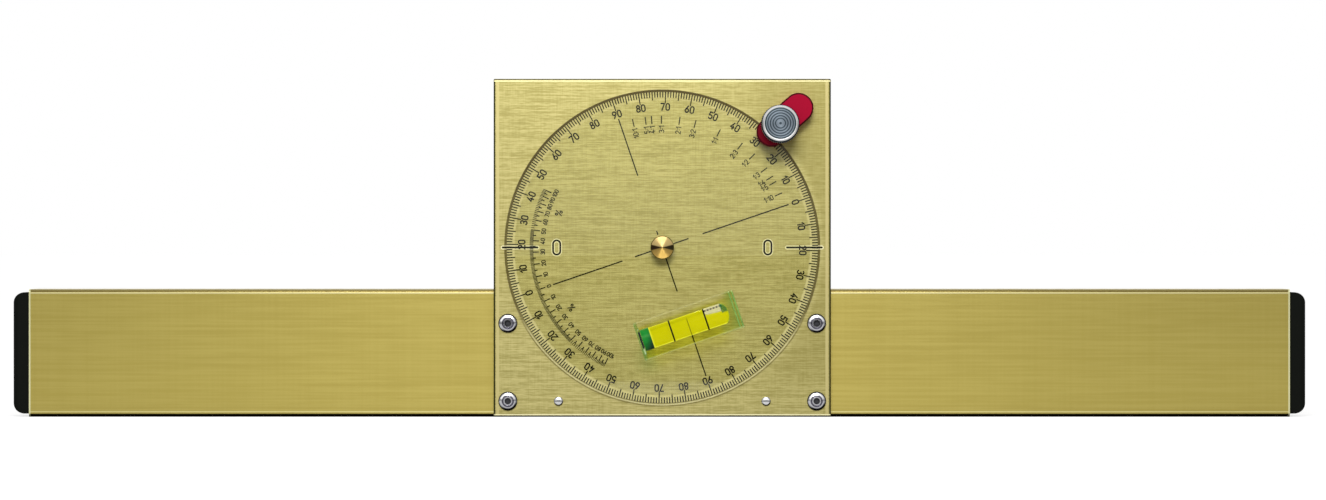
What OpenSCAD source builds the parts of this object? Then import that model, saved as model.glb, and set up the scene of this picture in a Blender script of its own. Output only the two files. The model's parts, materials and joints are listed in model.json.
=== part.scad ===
// Angle level: an aluminium straightedge with a square face plate, a clear
// turning dial that carries a spirit vial, and a thumb screw with a red shoe
// that locks the dial by its rim.
//
// Units are millimetres. +X runs along the bar, to the right as seen from the
// front. The front faces -Y and +Z is up. The origin is the centre of the
// bar's lower measuring face.

/* [Bar] */
// Length of the aluminium profile, without its end caps
bar_length = 487; // [300:1:1200]
// Height of the profile, from one measuring face to the other
bar_height = 49.3; // [46:0.1:58]
// Depth of the profile, front to back
bar_depth = 20; // [17:0.5:32]
// Wall of the profile
bar_wall = 1.8; // [1.2:0.1:2.6]
// Radius of the profile's long outer edges
bar_edge_radius = 1.3; // [0.4:0.1:2.5]
// Radius of the profile's inner corners
bar_inner_radius = 0.5; // [0.2:0.1:1]

/* [End caps] */
// How far a cap stands out past the end of the profile
cap_length = 6.5; // [5.5:0.1:10]
// How far a cap stands back from the profile's outer faces
cap_inset = 1.2; // [0.2:0.1:1.6]
// Radius of a cap's corners, seen from the front
cap_corner_radius = 4.7; // [2:0.1:5.4]
// Radius of a cap's upright outer edges, seen from above
cap_edge_radius = 2.5; // [1:0.1:4.5]
// Length of the plug inside the profile
cap_plug_length = 15; // [11:0.5:25]
// Wall of the hollow plug
cap_plug_wall = 1.5; // [1:0.1:2.5]
// Gap between the plug's wall and the profile, which the ribs bridge
cap_rib_height = 0.6; // [0.3:0.1:1]
// Thickness of a plug's rib
cap_rib_width = 1; // [0.6:0.1:1.6]
// Ribs on a plug
cap_ribs = 3; // [1:1:4]

/* [Face plate] */
// Side of the square plate
plate_size = 130; // [126:1:160]
// Thickness of the plate
plate_thickness = 2.5; // [1.6:0.1:4]
// Radius of the plate's corners
plate_corner_radius = 0.5; // [0.2:0.1:3]
// Chamfer round the plate's front face
plate_edge_break = 0.3; // [0.1:0.05:0.6]
// How far the plate's middle lies to the right of the bar's middle
plate_offset = 1.1; // [-40:0.1:40]
// How far the plate's lower edge stays above the lower measuring face
plate_lift = 0.4; // [0.2:0.1:1.5]

/* [Rivets and screws] */
// Head diameter of a blind rivet
rivet_head_diameter = 7.3; // [6:0.1:8]
// Head height of a blind rivet
rivet_head_height = 1.2; // [1:0.1:1.8]
// Shank diameter of a blind rivet
rivet_shank_diameter = 4; // [3.2:0.1:4.4]
// Diameter of the rivet's set end inside the profile
rivet_bulb_diameter = 5.6; // [5:0.1:7]
// Length of the rivet's set end
rivet_bulb_length = 3.6; // [2.5:0.1:5]
// Hole down the middle of a rivet
rivet_core_diameter = 2.2; // [1.6:0.1:2.4]
// Distance of the rivets from the plate's left and right edges
rivet_edge_distance = 5.5; // [4.5:0.1:7]
// Height of the lower rivets above the lower measuring face
rivet_row_height = 6.2; // [5.6:0.1:8]
// Distance between the lower and the upper rivets
rivet_row_pitch = 30; // [24:0.5:31]
// Head diameter of a small slotted screw
screw_head_diameter = 3.6; // [3:0.1:5]
// Head height of a small slotted screw
screw_head_height = 1.1; // [0.8:0.1:2]
// Thread diameter of a small slotted screw
screw_diameter = 2; // [1.4:0.1:2.5]
// Length of a small screw under its head
screw_length = 7; // [5.5:0.5:10]
// Width of the screwdriver slot
screw_slot_width = 0.6; // [0.3:0.1:0.8]
// Depth of the screwdriver slot
screw_slot_depth = 0.5; // [0.3:0.1:0.7]
// Distance between the two small screws
screw_spacing = 80; // [40:1:100]

/* [Index marks] */
// Depth of the engraved marks
mark_depth = 0.25; // [0.1:0.05:0.5]
// Width of the engraved index line
mark_line_width = 0.6; // [0.3:0.05:0.8]
// How far an index line starts outside the dial's rim
mark_line_outside = 1; // [0.3:0.1:2]
// Length of an index line
mark_line_length = 14; // [8:0.5:16]
// Distance of a zero mark from the pivot
mark_zero_radius = 40.7; // [30:0.1:43]
// Width of a zero mark
mark_zero_width = 3.5; // [2.5:0.1:4]
// Height of a zero mark
mark_zero_height = 6.2; // [5:0.1:8]
// Stroke of a zero mark
mark_zero_stroke = 0.7; // [0.4:0.1:0.9]

/* [Dial] */
// How far the dial's rim stays inside the plate's edges
dial_margin = 4.2; // [3.4:0.1:12]
// Thickness of the clear dial
dial_thickness = 3; // [2:0.1:5]
// Width of the bevel round the dial's front edge
dial_bevel_width = 4.1; // [2:0.1:5]
// Thickness left at the dial's rim, outside the bevel
dial_rim_thickness = 1.2; // [0.6:0.1:1.8]
// Angle that the dial is turned to, counter-clockwise from level
dial_angle = 18.8; // [-180:0.1:180]

/* [Pivot] */
// Head diameter of the brass pivot screw
pivot_head_diameter = 9; // [8:0.1:12]
// Head height of the pivot screw
pivot_head_height = 1.8; // [1:0.1:3]
// Diameter of the shoulder that the dial turns on
pivot_shoulder_diameter = 5; // [4.6:0.1:6]
// Thread diameter of the pivot screw
pivot_thread_diameter = 4; // [3:0.1:4.4]
// Thickness of the spacer between dial and plate
spacer_thickness = 0.3; // [0.2:0.05:0.8]
// Diameter of the spacer
spacer_diameter = 8.4; // [7.6:0.1:11]
// Diameter of the washer behind the plate
washer_diameter = 9; // [8:0.1:11]
// Thickness of the washer behind the plate
washer_thickness = 0.8; // [0.5:0.1:1.5]
// Width across the flats of the pivot nut
nut_flats = 7; // [6.6:0.1:9]
// Height of the pivot nut
nut_height = 3.2; // [2:0.1:4]
// How far the thread sticks out of the nut
pivot_thread_rest = 1.2; // [0.4:0.1:2]

/* [Vial] */
// Length of the clear vial block
vial_length = 40; // [38:0.5:60]
// Height of the vial block, as seen from the front
vial_height = 15; // [12:0.5:20]
// How far the vial block stands out from the dial
vial_depth = 15; // [12:0.5:20]
// Chamfer round the block's front face, and radius of its standing edges
vial_edge_break = 0.3; // [0.1:0.05:0.8]
// Distance of the vial's middle from the pivot
vial_radius = 31.4; // [20:0.1:34]
// Diameter of the drilled vial
vial_bore_diameter = 8.5; // [7.5:0.1:10]
// Depth of the drilled vial up to its cone
vial_bore_depth = 34.3; // [30:0.1:35]
// Depth of the cone at the vial's end
vial_cone_depth = 1.9; // [1:0.1:2.5]
// How far the green plug sits inside the block's end
plug_recess = 1.5; // [0.5:0.1:3]
// Length of the green plug
plug_length = 3.4; // [2:0.1:5]
// Distance between the two ring marks
ring_spacing = 13.8; // [10:0.1:18]
// Width of a ring mark
ring_width = 0.6; // [0.3:0.1:1]
// Thickness of a ring mark
ring_thickness = 0.15; // [0.1:0.05:0.3]
// Length of the bubble
bubble_length = 7.4; // [6:0.1:12]
// How much the radius of the bubble's ends exceeds half its length
bubble_end_flatness = 1.3; // [1.2:0.1:4]
// Height of the bubble under the vial's upper side
bubble_height = 2.4; // [1.5:0.1:3.2]

/* [Clamp] */
// Distance of the clamp screw from the dial's rim
clamp_distance = 4.5; // [4.2:0.1:6]
// Direction of the clamp screw from the pivot, above level
clamp_direction = 46.3; // [30:0.1:60]
// Thread diameter of the clamp stud
stud_diameter = 4; // [3:0.1:4.4]
// How deep the stud sits in the knob
stud_seat_depth = 5; // [3:0.1:6]
// How far the stud sticks out behind its bush
stud_rest = 1.5; // [1:0.1:3]
// Diameter of the knob
knob_diameter = 14.8; // [12:0.1:18]
// Height of the knob's knurled part
knob_height = 7.5; // [6.5:0.1:12]
// Width of the bright chamfer round the knob's face
knob_chamfer = 0.9; // [0.4:0.1:1.2]
// Diameter of the neck under the knob
knob_neck_diameter = 9.5; // [8:0.1:11]
// Height of the neck under the knob
knob_neck_height = 1; // [0.5:0.1:2]
// Flutes of the knurl
knob_flutes = 54; // [24:1:60]
// Depth of a flute
knob_flute_depth = 0.25; // [0.1:0.05:0.3]
// Turned grooves on the knob's face
knob_grooves = 5; // [2:1:6]
// Width of a turned groove
knob_groove_width = 0.5; // [0.3:0.05:0.5]
// Depth of a turned groove
knob_groove_depth = 0.2; // [0.1:0.05:0.4]
// Diameter of the centre mark left by turning
knob_centre_diameter = 1.1; // [0.6:0.1:1.3]
// Width of the red shoe
shoe_width = 11.5; // [10:0.1:12]
// Reach of the shoe from the screw to the end of its nose
shoe_nose_reach = 9.95; // [8.5:0.05:11]
// Reach of the shoe from the screw to the end of its heel
shoe_heel_reach = 15.4; // [12:0.1:18]
// Thickness of the shoe's nose over the dial
shoe_thickness = 3; // [2:0.1:5]
// Chamfer round the shoe's front face
shoe_edge_break = 0.6; // [0.2:0.05:1]
// Distance of the heel's inner edge from the screw
shoe_step = 2.5; // [2.4:0.05:2.7]
// Direction that the shoe points in, above level
shoe_direction = 41.6; // [30:0.1:60]
// Diameter of the thrust washer
thrust_diameter = 9; // [8:0.1:11]
// Thickness of the thrust washer
thrust_thickness = 0.5; // [0.3:0.1:1]
// Diameter of the bush's collar in the plate
bush_collar_diameter = 6; // [5.6:0.1:7]
// Diameter of the bush's flange behind the plate
bush_flange_diameter = 8.5; // [8:0.1:11]
// Height of the bush's flange
bush_flange_height = 2.6; // [1.5:0.1:4]

/* [Clearances] */
// Radial clearance of a turning fit
turning_fit = 0.04; // [0.02:0.01:0.1]
// Radial clearance of a piece that is fixed in its hole
seat_fit = 0.02; // [0.01:0.01:0.05]
// Radial clearance of a screw or rivet in its hole
screw_fit = 0.05; // [0.03:0.01:0.1]
// Gap between faces that slide on each other
sliding_gap = 0.05; // [0.03:0.01:0.1]
// Gap under the eased shoe, over the dial and over the plate
shoe_gap = 0.1; // [0.05:0.05:0.3]
// Gap round the liquid and the bubble
liquid_gap = 0.05; // [0.03:0.01:0.1]

/* [Hidden] */

$fn = 96;
past = 1;                                          // how far a cut runs past its face

// Places along Y, from the bar's back to the front
bar_front = -bar_depth / 2;
plate_front = bar_front - plate_thickness;
dial_back = plate_front - spacer_thickness;
dial_front = dial_back - dial_thickness;

// The pivot is at the plate's middle
pivot_x = plate_offset;
pivot_z = plate_lift + plate_size / 2;
dial_radius = plate_size / 2 - dial_margin;

// The clamp screw, from the pivot
clamp_radius = dial_radius + clamp_distance;
clamp_x = pivot_x + clamp_radius * cos(clamp_direction);
clamp_z = pivot_z + clamp_radius * sin(clamp_direction);

// Heights over the plate's front, at the clamp
dial_top = spacer_thickness + dial_thickness;
nose_bottom = dial_top + shoe_gap;
shoe_top = nose_bottom + shoe_thickness;
thrust_bottom = shoe_top + sliding_gap;
knob_bottom = thrust_bottom + thrust_thickness + sliding_gap;
knob_top = knob_bottom + knob_neck_height + knob_height;
stud_bottom = -plate_thickness - bush_flange_height - stud_rest;

// The vial, measured along its block from the middle
vial_bore_radius = vial_bore_diameter / 2;
vial_open_end = -vial_length / 2;
bore_end = vial_open_end + vial_bore_depth;
plug_start = vial_open_end + plug_recess;
liquid_start = plug_start + plug_length + liquid_gap;
liquid_radius = vial_bore_radius - ring_thickness;
bubble_radius = liquid_radius - 2 * liquid_gap;
bubble_end = bore_end - 2 * liquid_gap;
bubble_floor = bubble_radius - bubble_height;

// Colours as the photograph shows them
gold_bar = "#b5a558";
gold_plate = "#c9be78";
brass = "#d9bd68";
black_plastic = "#16180f";
black_paint = "#15140c";
steel = "#8d979d";
chrome = "#c8cccc";
clear = [0.88, 0.92, 0.84, 0.35];
yellow = [0.85, 0.85, 0.02, 0.8];
green = "#1f7a3c";
red = "#a90835";
white = [1, 0.97, 0.97, 0.9];

// Placing

// Draws what follows as seen from the front: X right, Y up, Z towards the
// viewer, with the plane Z = 0 at the depth y.
module facing(x, z, y) {
    translate([x, y, z]) rotate([90, 0, 0]) children();
}

// The same at the pivot, from the plate's front
module at_pivot(y = plate_front) {
    facing(pivot_x, pivot_z, y) children();
}

// The same, turned with the dial
module on_dial(y = dial_back) {
    at_pivot(y) rotate([0, 0, dial_angle]) children();
}

// The same at the clamp screw, from the plate's front
module at_clamp() {
    facing(clamp_x, clamp_z, plate_front) children();
}

// The vial's own axes: X along the block, Y up, from the middle of the bore
module along_vial() {
    on_dial(dial_front - vial_depth / 2) translate([0, -vial_radius, 0]) children();
}

// Draws a piece at each rivet, at the depth y
module at_rivets(y) {
    for (side = [-1, 1], row = [0, 1])
        facing(
            pivot_x + side * (plate_size / 2 - rivet_edge_distance),
            rivet_row_height + row * rivet_row_pitch,
            y
        ) children();
}

// Draws a piece at each small screw, at the depth y
module at_screws(y) {
    for (side = [-1, 1])
        facing(pivot_x + side * screw_spacing / 2, rivet_row_height, y) children();
}

// Outlines

// A rectangle with round corners, about the origin
module rounded_rect(width, height, radius) {
    square([width - 2 * radius, height], center = true);
    square([width, height - 2 * radius], center = true);
    for (x = [-1, 1], y = [-1, 1])
        translate([x * (width / 2 - radius), y * (height / 2 - radius)]) circle(radius);
}

// A rectangle that starts at X = 0, with round corners at its far end
module rounded_end(length, width, radius) {
    translate([0, -width / 2]) square([length - radius, width]);
    translate([0, radius - width / 2]) square([length, width - 2 * radius]);
    for (y = [-1, 1])
        translate([length - radius, y * (width / 2 - radius)]) circle(radius);
}

// A slot shape along X with round ends, from x_start to x_end
module obround(x_start, x_end, width) {
    straight_start = x_start + width / 2;
    straight_end = x_end - width / 2;
    translate([straight_start, -width / 2]) square([straight_end - straight_start, width]);
    for (x = [straight_start, straight_end]) translate([x, 0]) circle(width / 2);
}

// A rectangle on Y = 0 whose upper corners are cut off at 45 degrees
module cut_corners(width, height, chamfer) {
    polygon([
        [-width / 2, 0],
        [width / 2, 0],
        [width / 2, height - chamfer],
        [width / 2 - chamfer, height],
        [chamfer - width / 2, height],
        [-width / 2, height - chamfer]
    ]);
}

// A slab on Z = 0 with round standing edges and a chamfer round its upper face
module slab(width, depth, height, radius, chamfer) {
    intersection() {
        linear_extrude(height) rounded_rect(width, depth, radius);
        rotate([90, 0, 0]) linear_extrude(depth, center = true)
            cut_corners(width, height, chamfer);
        rotate([90, 0, 90]) linear_extrude(width, center = true)
            cut_corners(depth, height, chamfer);
    }
}

// A slot shape along X that stands on Z = 0, with a chamfer round its upper face
module slot_block(x_start, x_end, width, height, chamfer) {
    straight_start = x_start + width / 2;
    straight_end = x_end - width / 2;
    translate([straight_start, 0, 0]) rotate([90, 0, 90])
        linear_extrude(straight_end - straight_start) cut_corners(width, height, chamfer);
    for (x = [straight_start, straight_end]) translate([x, 0, 0]) rotate_extrude() polygon([
        [0, 0],
        [width / 2, 0],
        [width / 2, height - chamfer],
        [width / 2 - chamfer, height],
        [0, height]
    ]);
}

// The engraved line and zero on both sides of the pivot, drawn in by inset
module index_outline(inset) {
    for (side = [0, 180]) rotate(side) {
        line_start = dial_radius + mark_line_outside - mark_line_length;
        translate([line_start + inset, inset - mark_line_width / 2])
            square([mark_line_length - 2 * inset, mark_line_width - 2 * inset]);
        translate([mark_zero_radius, 0]) rotate(90) difference() {
            half = mark_zero_height / 2 - inset;
            hole = mark_zero_height / 2 - mark_zero_stroke + inset;
            obround(-half, half, mark_zero_width - 2 * inset);
            obround(-hole, hole, mark_zero_width - 2 * mark_zero_stroke + 2 * inset);
        }
    }
}

// Straightedge

module bar_profile() {
    color(gold_bar) difference() {
        translate([-bar_length / 2, 0, bar_height / 2]) rotate([90, 0, 90])
            linear_extrude(bar_length) difference() {
                rounded_rect(bar_depth, bar_height, bar_edge_radius);
                rounded_rect(
                    bar_depth - 2 * bar_wall, bar_height - 2 * bar_wall, bar_inner_radius
                );
            }
        at_rivets(bar_front + bar_wall + past)
            cylinder(d = rivet_shank_diameter + 2 * screw_fit, h = bar_wall + 2 * past);
        at_screws(bar_front + bar_wall + past)
            cylinder(d = screw_diameter + 2 * screw_fit, h = bar_wall + 2 * past);
    }
}

// One end cap, drawn at the right end: a rounded head and a hollow plug whose
// ribs reach the walls of the profile
module end_cap() {
    room_depth = bar_depth - 2 * bar_wall;
    room_height = bar_height - 2 * bar_wall;
    rib_corner = bar_inner_radius + cap_rib_height;
    rib_pitch = (cap_plug_length - cap_rib_width) / cap_ribs;
    color(black_plastic) translate([bar_length / 2, 0, bar_height / 2]) {
        intersection() {
            rotate([90, 0, 0]) linear_extrude(bar_depth - 2 * cap_inset, center = true)
                rounded_end(cap_length, bar_height - 2 * cap_inset, cap_corner_radius);
            linear_extrude(bar_height - 2 * cap_inset, center = true)
                rounded_end(cap_length, bar_depth - 2 * cap_inset, cap_edge_radius);
        }
        difference() {
            union() {
                translate([past - cap_plug_length, 0, 0]) box_from_back(
                    cap_plug_length,
                    room_depth - 2 * cap_rib_height, room_height - 2 * cap_rib_height
                );
                for (rib = [1:cap_ribs]) translate([-rib * rib_pitch - cap_rib_width, 0, 0]) {
                    box_from_back(cap_rib_width, room_depth, room_height - 2 * rib_corner);
                    box_from_back(cap_rib_width, room_depth - 2 * rib_corner, room_height);
                }
            }
            hollow_depth = room_depth - 2 * (cap_rib_height + cap_plug_wall);
            hollow_height = room_height - 2 * (cap_rib_height + cap_plug_wall);
            translate([-cap_plug_length - past, 0, 0])
                box_from_back(cap_plug_length + past, hollow_depth, hollow_height);
        }
    }
}

// A box from X = 0, centred on the other two axes
module box_from_back(length, depth, height) {
    translate([0, -depth / 2, -height / 2]) cube([length, depth, height]);
}

module end_cap_right() {
    end_cap();
}

module end_cap_left() {
    mirror([1, 0, 0]) end_cap();
}

module face_plate() {
    color(gold_plate) difference() {
        at_pivot(bar_front) slab(
            plate_size, plate_size, plate_thickness, plate_corner_radius, plate_edge_break
        );
        at_pivot(bar_front + past)
            cylinder(d = pivot_thread_diameter + 2 * screw_fit, h = plate_thickness + 2 * past);
        facing(clamp_x, clamp_z, bar_front + past)
            cylinder(d = bush_collar_diameter + 2 * seat_fit, h = plate_thickness + 2 * past);
        at_rivets(bar_front + past)
            cylinder(d = rivet_shank_diameter + 2 * screw_fit, h = plate_thickness + 2 * past);
        at_screws(bar_front + past)
            cylinder(d = screw_diameter + 2 * screw_fit, h = plate_thickness + 2 * past);
        at_pivot(plate_front + mark_depth) linear_extrude(mark_depth + past)
            index_outline(0);
    }
}

// The black fill of the engraved marks, level with the plate
module index_marks() {
    color(black_paint) at_pivot(plate_front + mark_depth - seat_fit)
        linear_extrude(mark_depth - seat_fit) index_outline(seat_fit);
}

// Four set blind rivets. The setting tool leaves a groove round the core.
module blind_rivets() {
    grip = plate_thickness + bar_wall;
    head = rivet_head_diameter / 2;
    core = rivet_core_diameter / 2;
    lip = core + 0.75;
    groove = lip + 0.25;
    dome = groove + 0.3;
    color(chrome) at_rivets(plate_front) rotate_extrude() {
        polygon([
            [core, -grip],
            [rivet_shank_diameter / 2, -grip],
            [rivet_shank_diameter / 2, 0],
            [head, 0],
            [head, 0.35 * rivet_head_height],
            [(head + dome) / 2, 0.75 * rivet_head_height],
            [dome, 0.95 * rivet_head_height],
            [groove, 0.6 * rivet_head_height],
            [lip, 0.7 * rivet_head_height],
            [lip - 0.2, rivet_head_height],
            [core, rivet_head_height]
        ]);
        polygon([
            [core, -grip],
            [core, -grip - rivet_bulb_length],
            [rivet_shank_diameter / 2, -grip - rivet_bulb_length],
            [rivet_bulb_diameter / 2, -grip - 0.6 * rivet_bulb_length],
            [rivet_bulb_diameter / 2, -grip]
        ]);
    }
}

// The mandrels, broken off inside the rivets
module rivet_mandrels() {
    grip = plate_thickness + bar_wall;
    bulb_end = grip + rivet_bulb_length + seat_fit;
    color(steel) at_rivets(plate_front) {
        translate([0, 0, -bulb_end])
            cylinder(d = rivet_core_diameter - 2 * seat_fit, h = bulb_end + 0.2);
        translate([0, 0, -bulb_end - 1])
            cylinder(d = rivet_shank_diameter - 0.3, h = 1);
    }
}

// Two small screws with a domed head and a slot
module locating_screws() {
    half = screw_head_diameter / 2;
    color(chrome) at_screws(plate_front) difference() {
        union() {
            rotate_extrude() polygon([
                [0, 0],
                [half, 0],
                [half, 0.3 * screw_head_height],
                [0.93 * half, 0.55 * screw_head_height],
                [0.75 * half, 0.8 * screw_head_height],
                [0.45 * half, 0.95 * screw_head_height],
                [0, screw_head_height]
            ]);
            translate([0, 0, -screw_length]) cylinder(d = screw_diameter, h = screw_length);
        }
        translate([
            -screw_head_diameter, -screw_slot_width / 2, screw_head_height - screw_slot_depth
        ])
            cube([2 * screw_head_diameter, screw_slot_width, screw_slot_depth + past]);
    }
}

// Dial

// The clear disc with its bevelled front edge
module dial_disc() {
    bore = pivot_shoulder_diameter / 2 + turning_fit;
    color(clear) on_dial() rotate_extrude($fn = 180) polygon([
        [bore, 0],
        [dial_radius, 0],
        [dial_radius, dial_rim_thickness],
        [dial_radius - dial_bevel_width, dial_thickness],
        [bore, dial_thickness]
    ]);
}

// The brass shoulder screw that the dial turns on
module pivot_screw() {
    head = pivot_head_diameter / 2;
    shoulder = pivot_shoulder_diameter / 2;
    thread = pivot_thread_diameter / 2;
    head_bottom = dial_top + sliding_gap;
    head_top = head_bottom + pivot_head_height;
    tail = -plate_thickness - washer_thickness - nut_height - pivot_thread_rest;
    chamfer = 0.3;
    color(brass) at_pivot() rotate_extrude() polygon([
        [0, tail],
        [thread - chamfer, tail],
        [thread, tail + chamfer],
        [thread, 0],
        [shoulder, 0],
        [shoulder, head_bottom],
        [head, head_bottom],
        [head, head_top - chamfer],
        [head - chamfer, head_top],
        [0, head_top]
    ]);
}

// A flat ring that stands on Z = 0
module ring(outer, inner, height) {
    rotate_extrude() translate([inner / 2, 0]) square([(outer - inner) / 2, height]);
}

module pivot_spacer() {
    color(brass) at_pivot()
        ring(spacer_diameter, pivot_shoulder_diameter + 2 * screw_fit, spacer_thickness);
}

module pivot_washer() {
    color(chrome) at_pivot(bar_front + washer_thickness)
        ring(washer_diameter, pivot_thread_diameter + 2 * screw_fit, washer_thickness);
}

module pivot_nut() {
    color(chrome) at_pivot(bar_front + washer_thickness + nut_height) difference() {
        cylinder(d = nut_flats / cos(30), h = nut_height, $fn = 6);
        translate([0, 0, -past])
            cylinder(d = pivot_thread_diameter + 2 * screw_fit, h = nut_height + 2 * past);
    }
}

// A round piece along the vial's bore, from x_start to x_end
module vial_rod(x_start, x_end, radius) {
    translate([x_start, 0, 0]) rotate([0, 90, 0]) cylinder(r = radius, h = x_end - x_start);
}

// The drilled hole with its conical end, grown by gap on the inside
module vial_hole(x_start, radius) {
    cone = vial_cone_depth * radius / vial_bore_radius;
    translate([x_start, 0, 0]) rotate([0, 90, 0]) rotate_extrude() polygon([
        [0, 0],
        [radius, 0],
        [radius, bore_end - x_start],
        [0, bore_end - x_start + cone]
    ]);
}

module vial_block() {
    color(clear) difference() {
        along_vial() translate([0, 0, -vial_depth / 2]) slab(
            vial_length, vial_height, vial_depth, vial_edge_break, vial_edge_break
        );
        along_vial() vial_hole(vial_open_end - past, vial_bore_radius);
    }
}

module vial_plug() {
    color(green) along_vial()
        vial_rod(plug_start, plug_start + plug_length, vial_bore_radius - seat_fit);
}

// The room of the bubble, from the flat top of the liquid upwards, with round
// ends, grown by gap
module bubble_room(gap) {
    end_radius = bubble_length / 2 + bubble_end_flatness;
    height = bubble_height + past + gap;
    translate([0, bubble_floor - gap, 0]) rotate([-90, 0, 0]) linear_extrude(height)
        intersection() {
            translate([bubble_end - end_radius, 0]) circle(end_radius + gap);
            translate([bubble_end - bubble_length + end_radius, 0]) circle(end_radius + gap);
        }
}

module vial_liquid() {
    color(yellow) along_vial() difference() {
        vial_hole(liquid_start, liquid_radius);
        bubble_room(liquid_gap);
    }
}

module vial_rings() {
    color(black_paint) along_vial() for (side = [-1, 1])
        translate([side * ring_spacing / 2 - ring_width / 2, 0, 0]) rotate([0, 90, 0]) ring(
            vial_bore_diameter - 2 * seat_fit, 2 * (liquid_radius + seat_fit), ring_width
        );
}

module vial_bubble() {
    color(white) along_vial() intersection() {
        vial_rod(bubble_end - bubble_length - past, bubble_end + past, bubble_radius);
        bubble_room(0);
    }
}

// Clamp

// The red shoe: its nose lies over the dial's rim and its heel on the plate
module clamp_shoe() {
    color(red) at_clamp() rotate([0, 0, shoe_direction]) difference() {
        translate([0, 0, shoe_gap]) slot_block(
            -shoe_nose_reach, shoe_heel_reach, shoe_width, shoe_top - shoe_gap, shoe_edge_break
        );
        translate([-shoe_nose_reach - past, -shoe_width, shoe_gap - past])
            cube([
                shoe_nose_reach + past - shoe_step, 2 * shoe_width,
                nose_bottom - shoe_gap + past
            ]);
        cylinder(d = stud_diameter + 2 * turning_fit, h = shoe_top + past);
    }
}

module clamp_washer() {
    color(chrome) at_clamp() translate([0, 0, thrust_bottom])
        ring(thrust_diameter, stud_diameter + 2 * turning_fit, thrust_thickness);
}

// The turned knob: neck, knurled rim, chamfer and grooved face
module clamp_knob() {
    rim = knob_diameter / 2;
    neck = knob_neck_diameter / 2;
    neck_top = knob_bottom + knob_neck_height;
    seat = stud_diameter / 2 + seat_fit;
    seat_top = knob_bottom + stud_seat_depth + seat_fit;
    lip = 0.3;
    face = rim - lip - knob_chamfer;
    pitch = (face - knob_centre_diameter) / knob_grooves;
    color(steel) at_clamp() difference() {
        rotate_extrude() polygon([
            [seat, knob_bottom],
            [neck, knob_bottom],
            [neck, neck_top],
            [rim - lip, neck_top],
            [rim, neck_top + lip],
            [rim, knob_top - knob_chamfer],
            [rim - lip, knob_top - knob_chamfer],
            [face, knob_top],
            [0, knob_top],
            [0, seat_top],
            [seat, seat_top]
        ]);
        for (flute = [1:knob_flutes]) rotate(flute * 360 / knob_flutes)
            translate([rim + knob_flute_depth / 2, 0, neck_top - past])
                cylinder(r = knob_flute_depth * 1.5, h = knob_height + 2 * past, $fn = 16);
        for (groove = [1:knob_grooves])
            translate([0, 0, knob_top - knob_groove_depth]) ring(
                2 * (knob_centre_diameter + (groove - 0.5) * pitch) + knob_groove_width,
                2 * (knob_centre_diameter + (groove - 0.5) * pitch) - knob_groove_width,
                knob_groove_depth + past
            );
        translate([0, 0, knob_top - knob_groove_depth])
            cylinder(d = knob_centre_diameter, h = knob_groove_depth + past);
    }
}

module clamp_stud() {
    chamfer = 0.4;
    radius = stud_diameter / 2;
    color(steel) at_clamp() rotate_extrude() polygon([
        [0, stud_bottom],
        [radius - chamfer, stud_bottom],
        [radius, stud_bottom + chamfer],
        [radius, knob_bottom + stud_seat_depth],
        [0, knob_bottom + stud_seat_depth]
    ]);
}

// The threaded bush, put in from behind
module clamp_bush() {
    color(brass) at_clamp() difference() {
        union() {
            translate([0, 0, -plate_thickness]) cylinder(d = bush_collar_diameter, h = plate_thickness);
            translate([0, 0, -plate_thickness - bush_flange_height])
                cylinder(d = bush_flange_diameter, h = bush_flange_height);
        }
        translate([0, 0, -plate_thickness - bush_flange_height - past]) cylinder(
            d = stud_diameter + 2 * turning_fit,
            h = plate_thickness + bush_flange_height + 2 * past
        );
    }
}

bar_profile();
end_cap_left();
end_cap_right();
face_plate();
index_marks();
blind_rivets();
rivet_mandrels();
locating_screws();
dial_disc();
pivot_screw();
pivot_spacer();
pivot_washer();
pivot_nut();
vial_block();
vial_plug();
vial_liquid();
vial_rings();
vial_bubble();
clamp_shoe();
clamp_washer();
clamp_knob();
clamp_stud();
clamp_bush();
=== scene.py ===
"""Looks of the angle level: finishes, the dial's printed scales, the vial, the studio and the camera.

Everything is in the part's own frame: +X runs along the bar, the front faces -Y and +Z is up. Shapes are in
metres. Materials measure in millimetres, from points that are given in metres.
"""

import json
import math

import bmesh
import bpy
from mathutils import Matrix, Vector


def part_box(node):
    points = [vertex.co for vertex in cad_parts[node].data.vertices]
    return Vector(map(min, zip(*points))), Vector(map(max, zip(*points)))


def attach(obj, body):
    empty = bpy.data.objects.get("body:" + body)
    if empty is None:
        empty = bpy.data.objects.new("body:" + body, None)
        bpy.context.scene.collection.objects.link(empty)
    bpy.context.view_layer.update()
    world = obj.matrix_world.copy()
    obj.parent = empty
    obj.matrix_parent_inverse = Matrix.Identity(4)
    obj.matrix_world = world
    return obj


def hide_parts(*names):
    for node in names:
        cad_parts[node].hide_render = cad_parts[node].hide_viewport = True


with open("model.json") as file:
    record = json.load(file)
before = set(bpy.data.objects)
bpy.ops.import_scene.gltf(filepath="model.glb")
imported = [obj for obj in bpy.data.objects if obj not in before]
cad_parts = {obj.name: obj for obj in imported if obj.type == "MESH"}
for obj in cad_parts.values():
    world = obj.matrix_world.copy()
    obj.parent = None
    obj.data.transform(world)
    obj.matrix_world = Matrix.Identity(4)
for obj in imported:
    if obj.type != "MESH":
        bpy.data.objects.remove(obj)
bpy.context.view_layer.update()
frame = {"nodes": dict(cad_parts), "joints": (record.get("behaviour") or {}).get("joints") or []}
nodes = frame["nodes"]
joints = {joint["name"]: joint for joint in frame["joints"]}

MM = 0.001

# The photograph
PHOTO_WIDTH = 1326
PHOTO_PIXEL = 0.3855 * MM  # what one pixel of the photograph covers at the plate's front
PHOTO_MIDDLE = (1.39 * MM, 64.43 * MM)  # where the photograph's middle lies, as X and Z
CAMERA_LENS = 100
CAMERA_SENSOR = 36

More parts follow.
